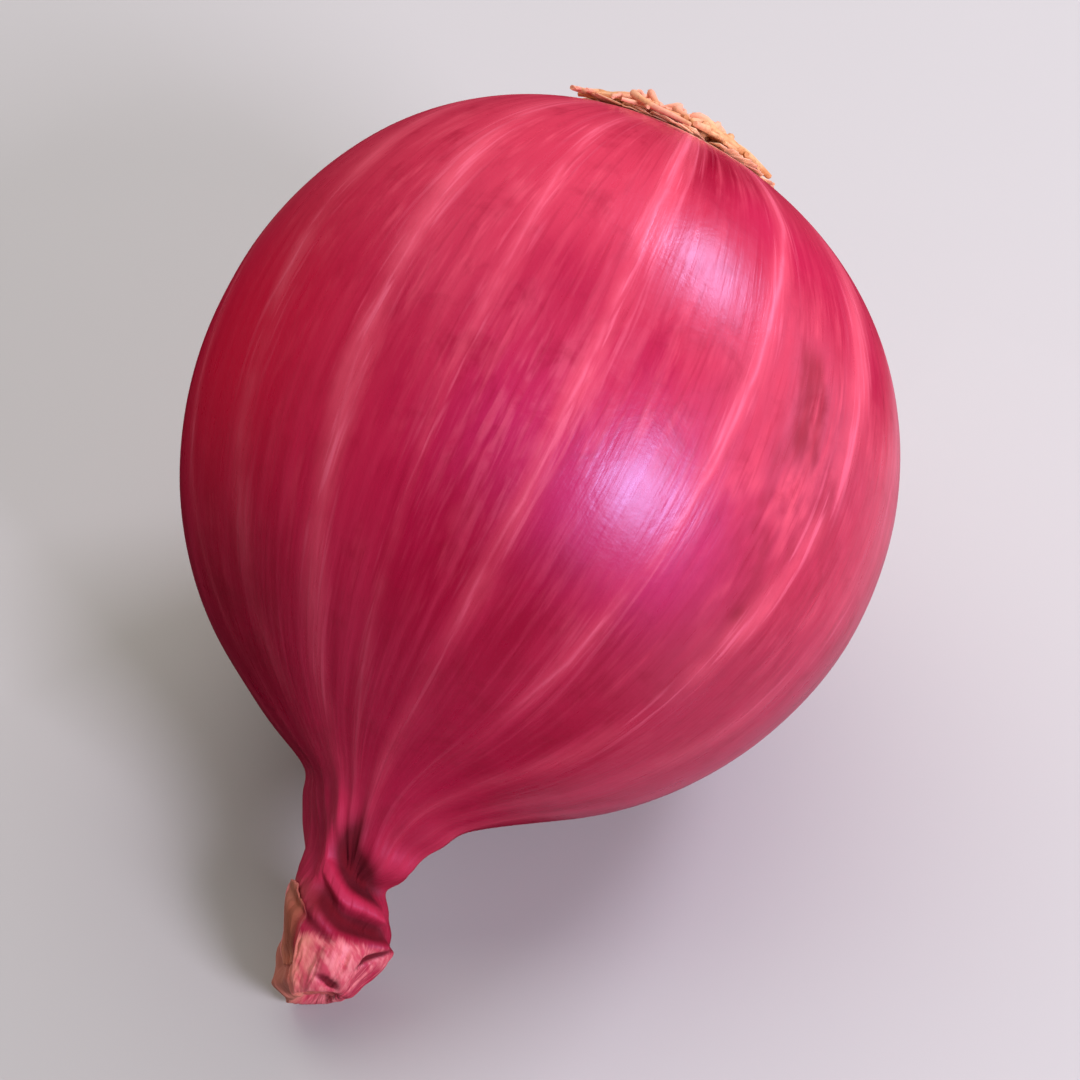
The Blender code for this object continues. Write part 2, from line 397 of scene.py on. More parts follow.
def add_node(tree, kind, settings=None, **inputs):
    """A node with its settings, and with inputs given by their names in lower case."""
    node = tree.nodes.new(kind)
    for name, value in (settings or {}).items():
        setattr(node, name, value)
    for name, value in inputs.items():
        socket = next(s for s in node.inputs if s.enabled and s.name.lower().replace(" ", "_") == name)
        wire(value, socket)
    return node


def result(tree, kind, settings=None, **inputs):
    """What a new node gives out first."""
    node = add_node(tree, kind, settings, **inputs)
    return Formula(tree, next(output for output in node.outputs if output.enabled))


def store(geometry, name, kind, domain, value):
    """Keep a field on the geometry as a named attribute."""
    settings = {"data_type": kind, "domain": domain}
    return result(
        geometry.tree,
        "GeometryNodeStoreNamedAttribute",
        settings,
        geometry=geometry,
        name=name,
        value=value,
    )


def add_object(name, data):
    """A new object in the scene."""
    made = bpy.data.objects.new(name, data)
    bpy.context.scene.collection.objects.link(made)
    return made


def bake(piece):
    """Keep what a piece's modifiers make as its plain mesh."""
    bpy.context.view_layer.update()
    graph = bpy.context.evaluated_depsgraph_get()
    made = bpy.data.meshes.new_from_object(piece.evaluated_get(graph))
    piece.modifiers.clear()
    piece.data = made
    made.name = piece.name
    if not made.polygons:
        raise RuntimeError(f"{piece.name} came out empty")
    return piece


SOCKET_KINDS = {int: "NodeSocketInt", float: "NodeSocketFloat", bpy.types.Object: "NodeSocketObject"}


def grow(name, shape, material, sizes):
    """Grow a piece with Geometry Nodes: shape(tree, given) adds the nodes that work from the named
    sizes and gives the geometry, which ends in plain smooth faces with their material."""
    tree = bpy.data.node_groups.new(name, "GeometryNodeTree")
    tree.interface.new_socket("Geometry", in_out="OUTPUT", socket_type="NodeSocketGeometry")
    for label, value in sizes.items():
        tree.interface.new_socket(label, in_out="INPUT", socket_type=SOCKET_KINDS[type(value)])
    entry = tree.nodes.new("NodeGroupInput")
    given = {socket.name: Formula(tree, socket) for socket in entry.outputs if socket.name}
    real = result(tree, "GeometryNodeRealizeInstances", geometry=shape(tree, given))
    smooth = result(tree, "GeometryNodeSetShadeSmooth", geometry=real)
    dressed = result(tree, "GeometryNodeSetMaterial", geometry=smooth, material=material)
    wire(dressed, tree.nodes.new("NodeGroupOutput").inputs[0])
    piece = add_object(name, bpy.data.meshes.new(name))
    modifier = piece.modifiers.new("grow", "NODES")
    modifier.node_group = tree
    for item in tree.interface.items_tree:
        if item.in_out == "INPUT":
            modifier[item.identifier] = sizes[item.name]
    return bake(piece)


# ------------------------------------------------------------------ the onion's own shape


def plain_step(low, high, value):
    """The smooth S as a plain number."""
    t = min(1.0, max(0.0, (value - low) / (high - low)))
    return t * t * (3.0 - 2.0 * t)


def bezier(points, steps):
    """The points of a cubic Bezier curve after its first one."""
    curve = []
    for step in range(1, steps + 1):
        t = step / steps
        weights = ((1 - t) ** 3, 3 * t * (1 - t) ** 2, 3 * t * t * (1 - t), t**3)
        total = Vector((0.0, 0.0))
        for weight, point in zip(weights, points):
            total += weight * Vector(point)
        curve.append(total)
    return curve


def belly_reach(angle):
    """Bulb radii from the centre to the skin, at an angle from the root end's pole."""
    along, across = abs(math.cos(angle)), math.sin(angle)
    if angle > math.pi / 2:
        return 1.0 / math.hypot(along / NECK_STRETCH, across)
    power = ROOT_SQUARENESS
    return 1.0 / (along**power + across**power) ** (1.0 / power)


RIM_STATION = -belly_reach(RIM_ANGLE) * math.cos(RIM_ANGLE)


def skin_outline():
    """(station, radius) of every ring of the skin, in bulb radii, from root pole to tip pole."""
    floor = RIM_STATION + DISH_DEPTH
    half_dish = (floor, DISH_RADIUS * 0.5)
    rim = (RIM_STATION, belly_reach(RIM_ANGLE) * math.sin(RIM_ANGLE))
    out_handle, rim_handle = (floor, DISH_RADIUS * 1.02), (RIM_STATION - 0.002, DISH_RADIUS * 0.97)
    outline = [(floor, 0.0), half_dish]
    outline += bezier((half_dish, out_handle, rim_handle, rim), DISH_RINGS)

    share = SHOULDER_STATION / NECK_STRETCH
    shoulder = Vector((SHOULDER_STATION, math.sqrt(1.0 - share**2)))
    last = math.pi - math.atan2(shoulder[1], shoulder[0])
    for ring in range(1, BELLY_RINGS + 1):
        angle = RIM_ANGLE + (last - RIM_ANGLE) * ring / BELLY_RINGS
        outline.append(Vector((-math.cos(angle), math.sin(angle))) * belly_reach(angle))

    slope = -SHOULDER_STATION / (NECK_STRETCH**2 * shoulder[1])
    waist, lip = (WAIST_STATION, WAIST_RADIUS), (LIP_STATION, LIP_RADIUS)
    tip, deep = (TIP_STATION, TIP_RADIUS), TIP_STATION - TIP_HOLLOW
    ease = 0.05
    neck_start = shoulder + 0.17 * Vector((1.0, slope))
    for *points, rings in (
        (shoulder, neck_start, (WAIST_STATION - 0.20, WAIST_RADIUS + 0.045), waist, SHOULDER_RINGS),
        (waist, (WAIST_STATION + ease, WAIST_RADIUS), (LIP_STATION - ease, LIP_RADIUS), lip, FLARE_RINGS),
        (lip, (LIP_STATION + ease, LIP_RADIUS), (TIP_STATION, TIP_RADIUS * 1.35), tip, CLOSING_RINGS),
        (tip, (TIP_STATION, TIP_RADIUS * 0.75), (deep, TIP_RADIUS * 0.75), (deep, 0.0), HOLLOW_RINGS),
    ):
        outline += bezier(points, rings)
    return outline


def axis_at(station):
    """The crooked axis, in bulb radii: bowed, then swung aside and drooping along the neck."""
    swing = NECK_SWING * plain_step(SHOULDER_STATION, TIP_STATION, station)
    reach = (station - SHOULDER_STATION) / (TIP_STATION - SHOULDER_STATION)
    return Vector((swing - AXIS_BOW * station**2, -NECK_DROOP * max(0.0, reach) ** 2, station))


def outline_object():
    """The skin's outline as a row of points that the skin's tree reads."""
    points = [(station, radius, 0.0) for station, radius in skin_outline()]
    edges = [(place, place + 1) for place in range(len(points) - 1)]
    data = bpy.data.meshes.new("skin_outline")
    data.from_pydata(points, edges, [])
    return add_object("skin_outline", data)


def from_neck_top(degrees):
    """A turn, in degrees from the middle of the neck's upper side."""
    return calculate("WRAP", degrees - NECK_TOP_TURN, 180.0, -180.0)


def vein_layout(turn):
    """The count of veins up to a turn, in degrees past the seam: a vein's middle is at a half."""
    node = turn.tree.nodes.new("ShaderNodeFloatCurve")
    node.mapping.use_clip = False
    curve = node.mapping.curves[0]
    edge = (VEINS[0][0] + VEINS[-1][0] - 360.0) / 2.0
    knots = [(edge, 0.0)]
    knots += [(vein[0], (place + 0.5) / len(VEINS)) for place, vein in enumerate(VEINS)]
    knots.append((edge + 360.0, 1.0))
    knots = [((degrees - SEAM_TURN) / 360.0, count) for degrees, count in knots]
    curve.points[0].location = knots[0]
    curve.points[1].location = knots[-1]
    for knot in knots[1:-1]:
        curve.points.new(*knot)
    for point in curve.points:
        point.handle_type = "VECTOR"
    node.mapping.update()
    wire(turn / 360.0, node.inputs["Value"])
    return Formula(turn.tree, node.outputs[0]) * float(len(VEINS))


def neck_relief(turn, station, dryness):
    """How far the dry neck's folds stand out of its round section or sink into it, in bulb radii.

    The turn is in degrees from the middle of the neck's upper side. The second result is how much
    painted shade the hollows get, from 0 to 1, and the third is how high the folds are.
    """

    def spot(middle_turn, turns, middle_station, stations):
        return peak(turn, middle_turn, turns) * peak(station, middle_station, stations)

    # The fold that crosses the neck like a strap, and the one that runs up into it
    past = station - (1.352 - 0.064 * ramp(5.0, 55.0, turn))
    slip = past / blend(0.036, 0.030, ramp(-0.010, 0.016, past))
    strap = bell(slip * slip) * between(turn, -92.0, -48.0, 44.0, 68.0)
    fold_turn = 33.0 + 17.0 * ramp(1.10, 1.28, station)
    fold = peak(turn, fold_turn, 10.0) * between(station, 0.94, 1.12, 1.30, 1.36)
    bulge = spot(-42.0, 22.0, 1.200, 0.040)
    tongue = spot(34.0, 13.0, 1.405, 0.036)
    knuckles = peak(turn, 12.0, 9.0) + peak(turn, -12.0, 8.0) + peak(turn, 40.0, 10.0)
    raised = calculate("SMOOTH_MAX", 0.027 * strap, 0.023 * fold, 0.010)
    raised = raised + 0.014 * bulge + 0.010 * knuckles * peak(station, 1.535, 0.045) + 0.014 * tongue

    pit = spot(-4.0, 33.0, 1.268 - 0.0009 * (turn + 4.0), 0.048)
    channel = peak(past, -0.062, 0.026) * between(turn, -90.0, -50.0, 22.0, 44.0)
    recess = peak(past, 0.066, 0.030) * between(turn, -72.0, -35.0, 25.0, 62.0)
    trough = peak(turn, fold_turn - 22.0, 12.0) * between(station, 1.06, 1.20, 1.24, 1.30)
    gutter = peak(station, 1.475 - 0.0017 * (turn - 20.0), 0.016) * between(turn, 5.0, 22.0, 70.0, 95.0)
    groove = spot(-40.0, 20.0, 1.518 + 0.0022 * (turn + 35.0), 0.014)
    slit = spot(2.0, 16.0, 1.605 - 0.0012 * turn, 0.010)
    sunk, painted_shade = 0.0, 0.0
    # Each of these hollows sinks the neck by its depth, and its darkness is how much painted shade the skin
    # lays in it
    for hollow, depth, darkness in (
        (pit, 0.055, 0.95),
        (channel, 0.020, 0.60),
        (recess, 0.028, 0.95),
        (groove, 0.018, 0.90),
        (slit, 0.020, 1.00),
        (trough, 0.012, 0.60),
        (gutter, 0.014, 0.45),
    ):
        sunk = depth * hollow + sunk
        painted_shade = darkness * hollow + painted_shade

    # What the neck's two sides lose from its round section
    left = 0.048 * peak(station, 1.065, 0.050) + 0.020 * ramp(1.49, 1.55, station)
    left = left + 0.040 * ramp(1.58, 1.63, station)
    right = 0.040 * peak(station, 1.285, 0.045) + 0.022 * peak(station, 1.355, 0.035)
    right = right + 0.026 * ramp(1.53, 1.60, station) - 0.024 * peak(station, 1.465, 0.035)
    right = right - 0.022 * peak(station, 1.10, 0.045)
    trim = peak(turn, 98.0, 48.0) * left + peak(turn, -80.0, 48.0) * right
    height = at_most(1.0, strap + fold * 0.8 + bulge * 1.3)
    return (raised - sunk) * dryness - trim, at_most(1.0, painted_shade), height


def skin_shape(tree, given):
    """A net wrapped round the onion's outline, from root end to tip."""
    grid = add_node(
        tree,
        "GeometryNodeMeshGrid",
        size_x=1.0,
        size_y=1.0,
        vertices_x=given["Segments"] + 1.0,
        vertices_y=given["Rings"] + 1.0,
    )
    chart = Formula(tree, grid.outputs["UV Map"])
    across, along, _ = separate(chart)
    outline = add_node(tree, "GeometryNodeObjectInfo", object=given["Outline"])
    ring = result(
        tree,
        "GeometryNodeSampleIndex",
        {"data_type": "FLOAT_VECTOR", "domain": "POINT", "clamp": True},
        geometry=Formula(tree, outline.outputs["Geometry"]),
        value=result(tree, "GeometryNodeInputPosition"),
        index=calculate("ROUND", along * given["Rings"]),
    )
    station, girth, _ = separate(ring)

    degrees = across * 360.0 + SEAM_TURN
    turn = degrees * DEGREE
    slope = at_most(2.0, at_least(-1.2, station / at_least(0.05, girth)))
    lean = VEIN_LEAN * sine(turn - UPPER_TURN * DEGREE) * slope
    veins = vein_layout(across * 360.0 + lean)

    dryness = ramp(FOLDS_STATION, WAIST_STATION, station)
    fleshiness = 1.0 - dryness
    twisted = turn - given["Neck twist"] * ramp(SWIRL_STATION, TIP_STATION, station)
    flat = given["Flattening"] * cosine(2.0 * twisted)
    folds = given["Fold depth"] * cosine(4.0 * twisted + sine(2.0 * turn))
    lobes = 0.003 * cosine(3.0 * turn + 0.8) + 0.002 * cosine(2.0 * turn)
    ridge = calculate("POWER", 0.5 - 0.5 * cosine(math.tau * veins), 1.6)
    pleats = given["Pleat depth"] * (ridge - 0.4) * dryness * ramp(1.28, 1.19, station)
    east, north = cosine(turn), sine(turn)
    round_about = combine(east, north, station * 1.6)
    crinkle = cloud(round_about, 5.5, 2.0, 0.55) - 0.5
    lumps = cloud(combine(3.2 * east, 3.2 * north, station * 9.0), roughness=0.6) - 0.5
    ruffle = (0.045 * sine(11.0 * turn + 9.0 * crinkle) + 0.20 * lumps) * ramp(1.46, 1.52, station)
    ruffle = ruffle + 0.10 * crinkle * dryness
    swell = (flat + folds + ruffle) * dryness + lobes * fleshiness + pleats + 1.0
    relief, hollow, crest = neck_relief(from_neck_top(degrees), station, dryness)
    dents = (cloud(round_about, 1.4, 1.0) - 0.5) * given["Dent depth"] * fleshiness
    reach = girth * swell + relief * ramp(0.0, 0.09, girth) + dents * girth
    out_x = reach * east
    x = out_x + NECK_SWING * ramp(SHOULDER_STATION, TIP_STATION, station) - AXIS_BOW * station * station
    droop = at_least(0.0, (station - SHOULDER_STATION) / (TIP_STATION - SHOULDER_STATION))
    y = reach * north - NECK_DROOP * droop * droop
    z = station - TIP_SLANT * ramp(WAIST_STATION, TIP_STATION, station) * out_x

    net = Formula(tree, grid.outputs["Mesh"])
    for name, kind, domain, value in (
        ("skin_map", "FLOAT2", "CORNER", chart),
        ("vein_count", "FLOAT", "CORNER", veins),
        ("station", "FLOAT", "POINT", station),
        ("girth", "FLOAT", "POINT", girth),
        ("hollow", "FLOAT", "POINT", hollow),
        ("crest", "FLOAT", "POINT", crest),
    ):
        net = store(net, name, kind, domain, value)
    size = given["Bulb radius"]
    place = combine(x * size, y * size, z * size)
    laid = lay_down(result(tree, "GeometryNodeSetPosition", geometry=net, position=place))
    x, y, z = separate(result(tree, "GeometryNodeInputPosition"))
    place = combine(x, y, at_least(0.0, z))
    rested = result(tree, "GeometryNodeSetPosition", geometry=laid, position=place)
    return result(tree, "GeometryNodeMergeByDistance", geometry=rested, distance=MERGE_DISTANCE)


def lay_down(geometry):
    """Turn a piece from the onion's upright frame to how it lies."""
    return result(
        geometry.tree,
        "GeometryNodeTransform",
        geometry=geometry,
        translation=BULB_MIDDLE,
        rotation=(math.pi / 2 + LYING_PITCH, 0.0, 0.0),
    )


def scatter(key, seed, low, high):
    """A random number for each key, always the same for the same seed."""
    settings = {"data_type": "FLOAT"}
    return result(key.tree, "FunctionNodeRandomValue", settings, id=key, seed=seed, min=low, max=high)


def numbered_copies(tree, count, shape):
    """Copies of a shape, each with its own number, and that number as a field."""
    row = result(tree, "GeometryNodeMeshLine", count=count)
    copies = result(tree, "GeometryNodeInstanceOnPoints", points=row, instance=shape)
    number = result(tree, "GeometryNodeInputIndex")
    kept = store(copies, "number", "FLOAT", "INSTANCE", number)
    real = result(tree, "GeometryNodeRealizeInstances", geometry=kept)
    return real, result(tree, "GeometryNodeInputNamedAttribute", {"data_type": "FLOAT"}, name="number")


def round_reach(lean):
    """Bulb radii from the centre to the root half of the skin, at an angle from its pole."""
    power = ROOT_SQUARENESS
    along = calculate("POWER", calculate("ABSOLUTE", cosine(lean)), power)
    across = calculate("POWER", calculate("ABSOLUTE", sine(lean)), power)
    return calculate("POWER", along + across, -1.0 / power)


def put_round_roots(geometry, height, lean, around):
    """Move a piece's points to a height over the centre, an angle from the root pole and a turn."""
    tree = geometry.tree
    station = -height * cosine(lean)
    out = height * sine(lean)
    x = out * cosine(around) - AXIS_BOW * station * station
    y = out * sine(around)
    place = combine(x * BULB_RADIUS, y * BULB_RADIUS, station * BULB_RADIUS)
    return lay_down(result(tree, "GeometryNodeSetPosition", geometry=geometry, position=place))


def strand_shape(tree, given):
    """Dry roots laid out from the root plate over the skin."""
    line = result(tree, "GeometryNodeCurvePrimitiveLine")
    stepped = result(tree, "GeometryNodeResampleCurve", curve=line, count=given["Steps"])
    curves, number = numbered_copies(tree, given["Strands"], stepped)
    t = result(tree, "GeometryNodeSplineParameter")

    long_one = calculate("GREATER_THAN", scatter(number, 1, 0.0, 1.0), SHORT_ROOT_SHARE)
    start = scatter(number, 2, *ROOT_STARTS) * DEGREE
    short_end = scatter(number, 3, *SHORT_ROOT_ENDS)
    long_end = scatter(number, 4, *LONG_ROOT_ENDS)
    turn = number * ROOT_TURN_STEP + scatter(number, 5, -0.3, 0.3)
    sided = 1.0 - ROOT_LEAN * cosine(turn)
    end = blend(short_end, long_end, long_one) * DEGREE * given["Spread"] * sided
    swerve = scatter(number, 6, -0.75, 0.75)
    arch = scatter(number, 7, *ROOT_ARCHES) / BULB_RADIUS * blend(1.0, 0.5, long_one)
    lean = blend(start, end, t)
    inside = (PLATE_RISE - ROOT_SINK - RIM_STATION) / cosine(start)
    stout = given["Thickness"] * scatter(number, 8, 0.65, 1.25)
    lying = round_reach(lean) + (stout * 1.15 + CLEARANCE) / BULB_RADIUS
    bend = cloud(combine(number * 3.71, t * 1.6, 0.0), detail=1.0) - 0.5
    lift = cloud(combine(number * 5.13, t * 2.4, 4.0), detail=1.0)
    hump = sine(at_most(1.0, t * 1.12) * math.pi)
    height = blend(inside, lying, ramp(0.0, 0.42, t))
    height = height + arch * (hump * hump + 0.7 * lift * ramp(0.2, 0.5, t))
    around = turn + swerve * t * t + 1.3 * bend * t
    laid = put_round_roots(curves, height, lean, around)
    radius = stout * (1.0 - 0.45 * t * t) * (0.85 + 0.3 * lift)
    sized = result(tree, "GeometryNodeSetCurveRadius", curve=laid, radius=radius)
    circle = "GeometryNodeCurvePrimitiveCircle"
    section = result(tree, circle, {"mode": "RADIUS"}, resolution=ROOT_SIDES, radius=1.0)
    return result(
        tree, "GeometryNodeCurveToMesh", curve=sized, profile_curve=section, scale=radius, fill_caps=True
    )


def tongue_shape(tree, given):
    """Torn tongues of papery skin set round the root plate."""
    flat = result(tree, "GeometryNodeMeshGrid", size_x=1.0, size_y=1.0, vertices_x=7, vertices_y=9)
    copies, number = numbered_copies(tree, given["Tongues"], flat)
    side, along, _ = separate(result(tree, "GeometryNodeInputPosition"))
    along = along + 0.5
    turn = number * (math.tau / TONGUES) + scatter(number, 11, -0.09, 0.09)
    start = TONGUE_START * DEGREE
    end = scatter(number, 12, *TONGUE_ENDS) * DEGREE * (1.0 - 0.4 * ROOT_LEAN * cosine(turn))
    half = scatter(number, 13, *TONGUE_HALF_WIDTHS)
    lift = scatter(number, 14, *TONGUE_LIFTS)
    tilt = scatter(number, 15, -0.5, 0.5)
    ragged = cloud(combine(number * 2.3, side * 5.0, 0.0)) - 0.5
    lean = start + (end - start) * (along + 0.35 * ragged * along)
    around = turn + side * half * 2.0 * (1.0 - 0.75 * along * along) + tilt * 0.2 * along * along
    height = round_reach(lean) + 0.0015 + lift * along * along + 0.010 * (side * side) * along
    waves = cloud(combine(number, side * 3.0, along * 2.0), detail=1.0) - 0.5
    return put_round_roots(copies, height + 0.006 * waves, lean, around)


class SkinSurface:
    """Finds places on the finished skin by their turn and station."""

    def __init__(self, skin):
        mesh = bmesh.new()
        mesh.from_mesh(skin.data)
        self.tree = BVHTree.FromBMesh(mesh)
        mesh.free()

    def place(self, turn, station, lift):
        """A point over the skin at a turn in degrees and a station, lifted by metres."""
        angle = math.radians(turn)
        slant = TIP_SLANT * plain_step(WAIST_STATION, TIP_STATION, station)
        spoke = Vector((math.cos(angle), math.sin(angle), -slant * math.cos(angle)))
        start = LAID_DOWN @ (axis_at(station) * BULB_RADIUS)
        outward = (LAID_DOWN.to_3x3() @ spoke).normalized()
        hit = self.tree.ray_cast(start, outward)[0]
        if hit is None:
            raise RuntimeError(f"no skin at turn {turn} and station {station}")
        return hit + outward * lift


def sheet_mesh(columns, rows, place):
    """A net of columns by rows whose points come from place(across, along), each from 0 to 1."""
    mesh = bmesh.new()
    chart = mesh.loops.layers.uv.new("scale_map")
    net = []
    for row in range(rows + 1):
        net.append([mesh.verts.new(place(column / columns, row / rows)) for column in range(columns + 1)])
    for row in range(rows):
        for column in range(columns):
            corners = ((column, row), (column + 1, row), (column + 1, row + 1), (column, row + 1))
            face = mesh.faces.new([net[y][x] for x, y in corners])
            for loop, (x, y) in zip(face.loops, corners):
                loop[chart].uv = (x / columns, y / rows)
    return mesh


def loose_scale_place(surface, across, along):
    """A point of the loose scale: across from its grown side to its free side, along from its top."""
    ragged = 0.014 * noise.noise(Vector((across * 4.0, 2.0, 0.0)))
    ragged += 0.003 * noise.noise(Vector((across * 13.0, 7.0, 0.0)))
    top = SCALE_TOP_GROWN + (SCALE_TOP_FREE - SCALE_TOP_GROWN) * across**0.7 + ragged
    top += 0.030 * plain_step(0.70, 1.0, across) ** 2
    station = top + (SCALE_FOOT - top) * along
    torn = 3.5 * noise.noise(Vector((along * 4.0, 5.0, 0.0)))
    torn += 1.5 * noise.noise(Vector((along * 13.0, 9.0, 0.0)))
    turn = SCALE_GROWN + (SCALE_FREE - SCALE_GROWN) * across + torn * across**3
    lift = 0.00005 + SCALE_LIFT * across**1.6 * (1.0 - plain_step(0.45, 0.95, along))
    lift += 0.00012 * math.exp(-((along / 0.08) ** 2)) * across
    lift += 0.00005 * noise.noise(Vector((turn * 0.09, along * 3.0, 4.0))) * across
    lift -= 0.00034 * plain_step(0.72, 1.0, along) + 0.00012 * plain_step(0.08, 0.0, across)
    return surface.place(turn, station, lift)


def rolled_scale_place(roll, across, along):
    """A point of a scale rolled up inside the neck's end."""
    share, first, last, rise = roll
    turn = math.radians(first + (last - first) * across)
    torn = 0.014 * noise.noise(Vector((math.cos(turn) * 2.0, math.sin(turn) * 2.0, share * 9.0)))
    torn += 0.007 * noise.noise(Vector((turn * 4.0, share * 5.0, 1.0)))
    sunk = TIP_HOLLOW * 0.95
    station = TIP_STATION - sunk + (sunk + rise + torn) * along
    wave = 1.0 + 0.14 * math.cos(3.0 * turn + share * 20.0)
    wave += 0.08 * noise.noise(Vector((turn, along * 2.0, share)))
    radius = TIP_RADIUS * share * wave * (0.85 + 0.18 * along) * (1.0 + 0.10 * across)
    out_x, out_y = radius * math.cos(turn), radius * math.sin(turn)
    place = axis_at(station) + Vector((out_x, out_y, -TIP_SLANT * out_x))
    return LAID_DOWN @ (place * BULB_RADIUS)


# ------------------------------------------------------------------ materials


def start_material(name):
    """A new material, its node tree and the object coordinates in that tree."""
    material = bpy.data.materials.new(name)
    material.use_nodes = True
    tree = material.node_tree
    return material, tree, Formula(tree, tree.nodes.new("ShaderNodeTexCoord").outputs["Object"])


def finish_material(material, colour, roughness, specular, relief=None, strength=1.0, depth=0.0):
    """Give a material its colour, its gloss and a relief that is some metres deep."""
    tree = material.node_tree
    shader = tree.nodes["Principled BSDF"]
    wire(colour, shader.inputs["Base Color"])
    wire(roughness, shader.inputs["Roughness"])
    wire(specular, shader.inputs["Specular IOR Level"])
    if relief:
        bump = result(tree, "ShaderNodeBump", height=relief, strength=strength, distance=depth)
        wire(bump, shader.inputs["Normal"])
    return material


def read_chart(tree, name):
    """How far across and along a piece's own map a point lies, each from 0 to 1."""
    return separate(result(tree, "ShaderNodeUVMap", {"uv_map": name}))[:2]


def vein_strengths(number):
    """The pale band's strength, the fine line's strength and the band's width for a vein."""
    tree = number.tree
    node = tree.nodes.new("ShaderNodeValToRGB")
    table = node.color_ramp
    table.interpolation = "CONSTANT"
    table.elements.remove(table.elements[1])
    for place, (_, band, line, width) in enumerate(VEINS):
        share = place / len(VEINS)
        element = table.elements.new(share) if place else table.elements[0]
        element.position = share
        element.color = (band, line, width / WIDEST_VEIN, 1.0)
    wire((number + 0.5) / float(len(VEINS)), node.inputs[0])
    parts = tree.nodes.new("ShaderNodeSeparateColor")
    wire(Formula(tree, node.outputs[0]), parts.inputs[0])
    band, line, width = [Formula(tree, output) for output in parts.outputs]
    return band, line, width * WIDEST_VEIN


class SkinFields:
    """Where each point of the skin lies, and the clouds that its finish is made of."""

    def __init__(self, tree, place):
        self.tree = tree
        self.place = place
        for name in ("station", "girth", "hollow", "crest", "vein_count"):
            node = add_node(tree, "ShaderNodeAttribute", {"attribute_name": name})
            setattr(self, name, Formula(tree, node.outputs["Fac"]))
        across = read_chart(tree, "skin_map")[0]
        self.turn = across * math.tau + SEAM_TURN * DEGREE
        self.degrees = from_neck_top(across * 360.0 + SEAM_TURN)
        self.east, self.north = cosine(self.turn), sine(self.turn)
        self.dry = ramp(0.95, 1.25, self.station)

        self.wander = self.streaks(2.2, 2.2, 3.0) - 0.5
        self.broad = self.streaks(6.5, 1.1, roughness=0.55)
        self.fine = self.streaks(26.0, 2.6, 3.0, 0.65)
        self.fibre = self.streaks(70.0, 5.0)
        self.blotch = cloud(place, 75.0, 4.0, 0.6, 0.4)
        self.smudge = cloud(place, 260.0, 4.0, 0.65, 0.3)
        self.grain = cloud(place, 1500.0, roughness=0.6)

    def streaks(self, across, along, detail=2.0, roughness=0.6):
        """Noise over the skin, so many to a bulb radius across the veins and along them."""
        spot = combine(self.east * across, self.north * across, self.station * along)
        return cloud(spot, 1.0, detail, roughness)

    def patch(self, turn, station, radius):
        """1 at a spot of the belly, fading to nothing over a radius in metres."""
        angle = math.radians(turn)
        girth = math.sqrt(max(0.0, 1.0 - (station / NECK_STRETCH) ** 2))
        spoke = Vector((girth * math.cos(angle), girth * math.sin(angle), 0.0))
        centre = LAID_DOWN @ ((axis_at(station) + spoke) * BULB_RADIUS)
        node = add_node(self.tree, "ShaderNodeVectorMath", {"operation": "DISTANCE"}, vector=self.place)
        wire(centre, node.inputs[1])
        return bell(Formula(self.tree, node.outputs["Value"]) / radius)


def lay_patches(base, settings, skin, patches, mottle=1.0):
    """Lay patches of the skin's colours over a base."""
    for colour, strength, *spot in patches:
        base = lay_over(base, settings, (skin.patch(*spot) * strength * mottle, colour))
    return base


def skin_veins(skin):
    """The veins' pale bands, their fine lines, and all the fine lines in and beside the veins."""
    count = skin.vein_count + 0.16 * skin.wander + 0.05 * (skin.fine - 0.5)
    number = calculate("FLOOR", count)
    band, line, width = vein_strengths(number)
    spacing = skin.girth * (math.tau * BULB_RADIUS * 1000.0 / len(VEINS))
    gap = calculate("ABSOLUTE", calculate("FRACT", count) - 0.5) * spacing
    along = combine(number * 7.31, skin.station * 2.4, 0.0)
    along = cloud(along, detail=3.0, roughness=0.6)
    pale = ramp(0.0, 1.0, 1.0 - gap / (width * (0.52 + 0.78 * along))) * band
    pale = pale * ramp(0.25, 0.62, along) * (0.35 + 1.2 * skin.fine)
    thread = bell(gap / 0.17) * line * ramp(0.38, 0.62, along) * (0.4 + 0.9 * skin.smudge)
    beside = peak(gap, 0.55, 0.10) * line * 0.5 * ramp(0.5, 0.7, skin.fine)
    feather = ramp(0.54, 0.68, skin.streaks(44.0, 3.2)) * bell(gap / 1.5) * band * 0.8
    return pale, thread, thread + beside + feather


